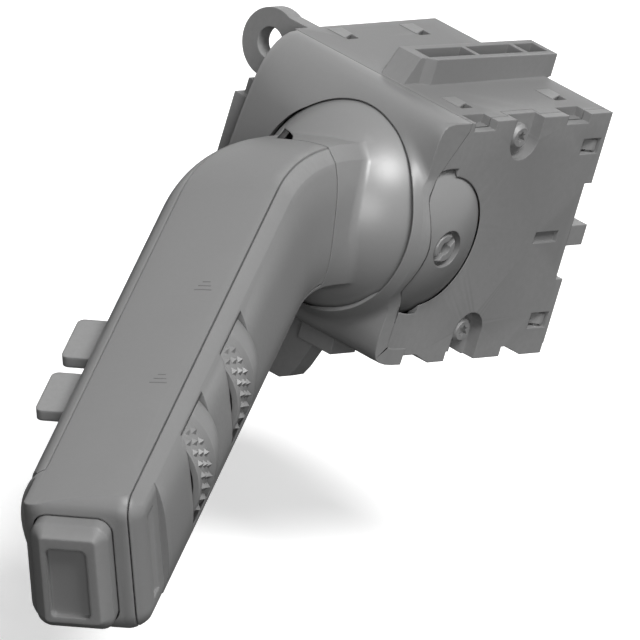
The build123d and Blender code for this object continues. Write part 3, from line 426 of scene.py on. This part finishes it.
def cover_edge():
    """Points (x, s) round the cover's four edges. On the right they keep outside the band."""
    top, bottom = COVER_ROWS[0][0], COVER_ROWS[-1][0]
    corners = [Vector(p) for p in ((COVER_RIGHT, bottom), (COVER_RIGHT, top), (COVER_LEFT, top),
                                   (COVER_LEFT, bottom))]
    edge = []
    for i, corner in enumerate(corners):
        for k in range(SIDE_STEPS):
            point = corner.lerp(corners[(i + 1) % 4], k / SIDE_STEPS)
            if point.x > 0 and abs(point.y) < EDGE_REACH:
                short = BAND_OUTER - point.length
                push = 0.5 * (short + math.sqrt(short**2 + EDGE_SOFTNESS))
                point = point.normalized() * (point.length + push)
            edge.append(point)
    return edge


def cover_back(x, s, face):
    """Point of the cover's inner face behind a point of its outer one."""
    side = ramp(x, *SKIRT_FADE)
    normal = cover_normal(x, s)
    normal.x *= 1 - side
    back = face - normal.normalized() * (COVER_WALL + SKIRT * side)
    top, (_, cheek_z) = COVER_ROWS[0][0], CHEEK[1]
    if s > cheek_z:
        down = min((top - s) / (top - cheek_z), 1)
        cheek = Vector((x, *CHEEK[0])).lerp(Vector((x, *CHEEK[1])), down)
        back = back.lerp(cheek, side)
    if back.length < BALL_CLEAR_R:
        back = back.normalized() * BALL_CLEAR_R
    return back


def make_front_cover():
    mesh = bmesh.new()
    edge = cover_edge()
    outer, inner = [], []
    for point in edge:
        way = point.normalized()
        start, end = opening_radius(way), point.length
        column_out, column_in = [], []
        for ring in range(RINGS + 1):
            t = ring / RINGS
            r = start + (end - start) * (RING_SPREAD * t + (1 - RING_SPREAD) * t * t)
            x, s = way.x * r, way.y * r
            face = cover_point(x, s)
            column_out.append(mesh.verts.new(PIVOT + face * MM))
            column_in.append(mesh.verts.new(PIVOT + cover_back(x, s, face) * MM))
        outer.append(column_out)
        inner.append(column_in)
    for i in range(len(edge)):
        j = (i + 1) % len(edge)
        for k in range(RINGS):
            mesh.faces.new((outer[i][k], outer[i][k + 1], outer[j][k + 1], outer[j][k]))
            mesh.faces.new((inner[i][k], inner[j][k], inner[j][k + 1], inner[i][k + 1]))
        mesh.faces.new((outer[i][-1], inner[i][-1], inner[j][-1], outer[j][-1]))
        mesh.faces.new((outer[i][0], outer[j][0], inner[j][0], inner[i][0]))
    return placed("front_cover_skin", mesh, cover_plastic)


cover = make_front_cover()
cover.data.shade_smooth()
cover.data.set_sharp_from_angle(angle=math.radians(CREASE_DEG))
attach(cover, "housing")
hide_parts("front_cover")
print("cover faces", len(cover.data.polygons))

# %% [markdown]
# Each mould window on the housing's top is closed for two thirds of its length by a low pad,
# which leaves a slanted notch beside it. One outline, extruded by bmesh, serves all four. The
# pads stand a tenth of a millimetre proud, so that no two faces lie in one plane.

# %% Pads on the top windows
TOP = 25.8
WINDOWS = ((-26.4, 13.0), (-25.8, 35.6), (9.0, 8.4), (8.8, 39.2))
PAD_OUTLINE = ((-2.9, -2.2), (1.9, -2.2), (0.5, 1.5), (0.5, 2.2), (-2.9, 2.2))
PAD_LOW, PAD_HIGH = -0.3, 0.12


def make_pads():
    mesh = bmesh.new()
    for x, y in WINDOWS:
        corners = [PIVOT + Vector((x + a, y + b, TOP + PAD_LOW)) * MM for a, b in PAD_OUTLINE]
        base = mesh.faces.new([mesh.verts.new(corner) for corner in corners])
        region = bmesh.ops.extrude_face_region(mesh, geom=[base])["geom"]
        raised = [v for v in region if isinstance(v, bmesh.types.BMVert)]
        bmesh.ops.translate(mesh, verts=raised, vec=(0, 0, (PAD_HIGH - PAD_LOW) * MM))
    return placed("window_pads", mesh, housing_plastic)


pads = make_pads()
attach(pads, "housing")
print("pads", len(WINDOWS))

# %% [markdown]
# Beside each wheel the grip carries faint marks for what the wheel does. Plain ticks of three
# lengths stand there. Each is a thin bar laid on the shell: a ray from above finds the
# surface under every corner, so the bar follows the crown of the grip. Distances across
# and along the grip count from the corner where its two straight parts meet.

# %% Ticks on the grip
GRIP_CORNER = PIVOT + Vector((0, -34.1, 0)) * MM
GRIP_ALONG = Vector((0.481, -0.819, -0.313)).normalized()
GRIP_SIDE = Vector((0.872, 0.408, 0.270))
GRIP_SIDE = (GRIP_SIDE - GRIP_ALONG * GRIP_SIDE.dot(GRIP_ALONG)).normalized()
GRIP_UP = GRIP_ALONG.cross(GRIP_SIDE)
TICK_PLACES = (52.4, 87.7)
TICK_MIDDLE = 3.6
TICK_LENGTHS = (1.6, 2.6, 3.6)
TICK_PITCH, TICK_WIDTH = 1.5, 0.35
TICK_PROUD, TICK_SUNK = 0.02, 0.1
TICK_SPANS = 4
RAY_START = 40


def on_grip(side, along):
    start = GRIP_CORNER + (GRIP_SIDE * side + GRIP_ALONG * along + GRIP_UP * RAY_START) * MM
    hit, point, normal, _ = frame["nodes"]["upper_shell"].ray_cast(start, -GRIP_UP)
    if not hit:
        raise ValueError("no grip under the tick")
    return point, normal


def make_ticks(name, along):
    mesh = bmesh.new()
    for i, length in enumerate(TICK_LENGTHS):
        rows = []
        for k in range(TICK_SPANS + 1):
            side = TICK_MIDDLE + length * (k / TICK_SPANS - 0.5)
            for offset in (-TICK_WIDTH / 2, TICK_WIDTH / 2):
                point, normal = on_grip(side, along + (i - 1) * TICK_PITCH + offset)
                rows.append(mesh.verts.new(point + normal * TICK_PROUD * MM))
                rows.append(mesh.verts.new(point - normal * TICK_SUNK * MM))
        for k in range(TICK_SPANS):
            a, b = rows[4 * k:4 * k + 4], rows[4 * k + 4:4 * k + 8]
            for p, q in ((0, 2), (2, 3), (3, 1), (1, 0)):
                mesh.faces.new((a[p], a[q], b[q], b[p]))
        for ends in (rows[:4], rows[-4:]):
            mesh.faces.new((ends[0], ends[2], ends[3], ends[1]))
    ticks = placed(name, mesh, tick_grey)
    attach(ticks, "lever")


tick_grey = moulded("tick_grey", GREY - 12, 0.55, grain_mm=0.2, depth_mm=0.004, highlight_strength=0.0)
for number, along in enumerate(TICK_PLACES, 1):
    make_ticks(f"ticks_{number}", along)
print("ticks", len(TICK_PLACES) * len(TICK_LENGTHS))

# %% [markdown]
# The photograph has no vanishing points, so the camera stands far off with a long lens.
# Its turn was read from the directions of the box's three edges. The scale of the picture is
# exact at DEPTH_MATCHED in front of the ball's centre, about the middle of the lever.

# %% Camera
PIVOT_PIXEL = (365, 204)
FRAME_PIXELS = 640
PIXEL = 0.2 * MM
RIGHT = Vector((0.7293, 0.6263, 0.2753)).normalized()
UP = Vector((-0.3938, 0.0554, 0.9175))
UP = (UP - RIGHT * UP.dot(RIGHT)).normalized()
TOWARDS = RIGHT.cross(UP)
HALF_ANGLE = math.radians(0.65)
DEPTH_MATCHED = 60 * MM
SENSOR_WIDTH = 36

camera = bpy.data.objects.new("camera", bpy.data.cameras.new("camera"))
bpy.context.scene.collection.objects.link(camera)
camera.data.sensor_width = SENSOR_WIDTH
camera.data.lens = SENSOR_WIDTH / 2 / math.tan(HALF_ANGLE)
distance = FRAME_PIXELS / 2 * PIXEL / math.tan(HALF_ANGLE)
middle = FRAME_PIXELS / 2
aim = PIVOT + TOWARDS * DEPTH_MATCHED
aim += RIGHT * (middle - PIVOT_PIXEL[0]) * PIXEL
aim -= UP * (middle - PIVOT_PIXEL[1]) * PIXEL
turn = Matrix((RIGHT, UP, TOWARDS)).transposed().to_4x4()
camera.matrix_world = Matrix.Translation(aim + TOWARDS * distance) @ turn
camera.data.clip_start = 0.1
camera.data.clip_end = 50
bpy.context.scene.camera = camera
print("camera distance", round(distance, 3))

# %% [markdown]
# The picture's shading says where its light stood: the ball's highlight lies up and to the
# right of its centre, which puts the key there, and the faces turned to the viewer are
# brighter than the ones turned away, which asks for a second light beside the camera.
# Sun lamps with a wide angle are soft and light the whole part alike. The third stands low
# behind the part and shows its far sides. It stays out of reflections, because at so low an
# angle it would glare on the housing's top.


# %% Lamps
def sun(name, towards_lamp, strength, softness):
    data = bpy.data.lights.new(name, "SUN")
    data.energy = strength
    data.angle = math.radians(softness)
    made = bpy.data.objects.new(name, data)
    bpy.context.scene.collection.objects.link(made)
    made.rotation_euler = towards_lamp.to_track_quat("Z", "Y").to_euler()
    return made


def in_view(right, up, towards):
    return RIGHT * right + UP * up + TOWARDS * towards


sun("key", in_view(0.38, 0.60, 0.70), 3.2, 26)
sun("beside_camera", in_view(0.05, -0.05, 1.0), 1.1, 25)
behind = sun("behind", Vector((-0.5, 0.87, 0.05)), 2.0, 30)
behind.visible_glossy = False
print("lamps 3")

# %% [markdown]
# The room is dim to the object and white to the eye: the world's strength is 1 for rays
# that come from the camera, from a gloss or through something clear, and low for the rest.

# %% Room
ROOM_LEVEL = 0.10

scene = bpy.context.scene
scene.world = bpy.data.worlds.new("room")
scene.world.use_nodes = True
tree = scene.world.node_tree
light_path = tree.nodes.new("ShaderNodeLightPath")
background = tree.nodes["Background"]
background.inputs["Color"].default_value = (1, 1, 1, 1)
seen = Wire(tree, light_path.outputs["Is Camera Ray"])
for other in ("Is Glossy Ray", "Is Transmission Ray"):
    seen = seen + Wire(tree, light_path.outputs[other])
strength = seen.clamped() * (1 - ROOM_LEVEL) + ROOM_LEVEL
feed(tree, background.inputs["Strength"], strength)
print("room level", ROOM_LEVEL)

# %% [markdown]
# The floor is white to the camera and lifted a little, so that only its shadow shows. To
# other rays it is a dark grey, so that it throws little light up at the part. It lies below
# the lowest point that the lever reaches.

# %% Floor
FLOOR_LIFT = 0.5
FLOOR_WHITE, FLOOR_BOUNCE = 245, 80
FLOOR_SIZE = 8.0
FLOOR_DROP = 24 * MM

bpy.ops.mesh.primitive_plane_add(size=FLOOR_SIZE)
floor = bpy.context.object
floor.name = "floor"
floor.location = (0, 0, cad_bounds[0][2] - FLOOR_DROP)
paint = Finish("floor_white")
eye = Wire(paint.tree, paint.node("LightPath").outputs["Is Camera Ray"])
paint.set(Base_Color=paint.mix(eye, grey(FLOOR_BOUNCE), grey(FLOOR_WHITE)), Roughness=0.9,
          Specular_IOR_Level=0.0)
lift = paint.node("Emission", inputs={"Strength": eye * FLOOR_LIFT})
both = paint.node("AddShader", inputs={0: paint.shader.outputs[0], 1: lift.outputs[0]})
feed(paint.tree, paint.tree.nodes["Material Output"].inputs["Surface"], both.outputs[0])
floor.data.materials.append(paint.material)
scene.view_settings.view_transform = "Standard"
print("floor at", round(floor.location.z, 4))
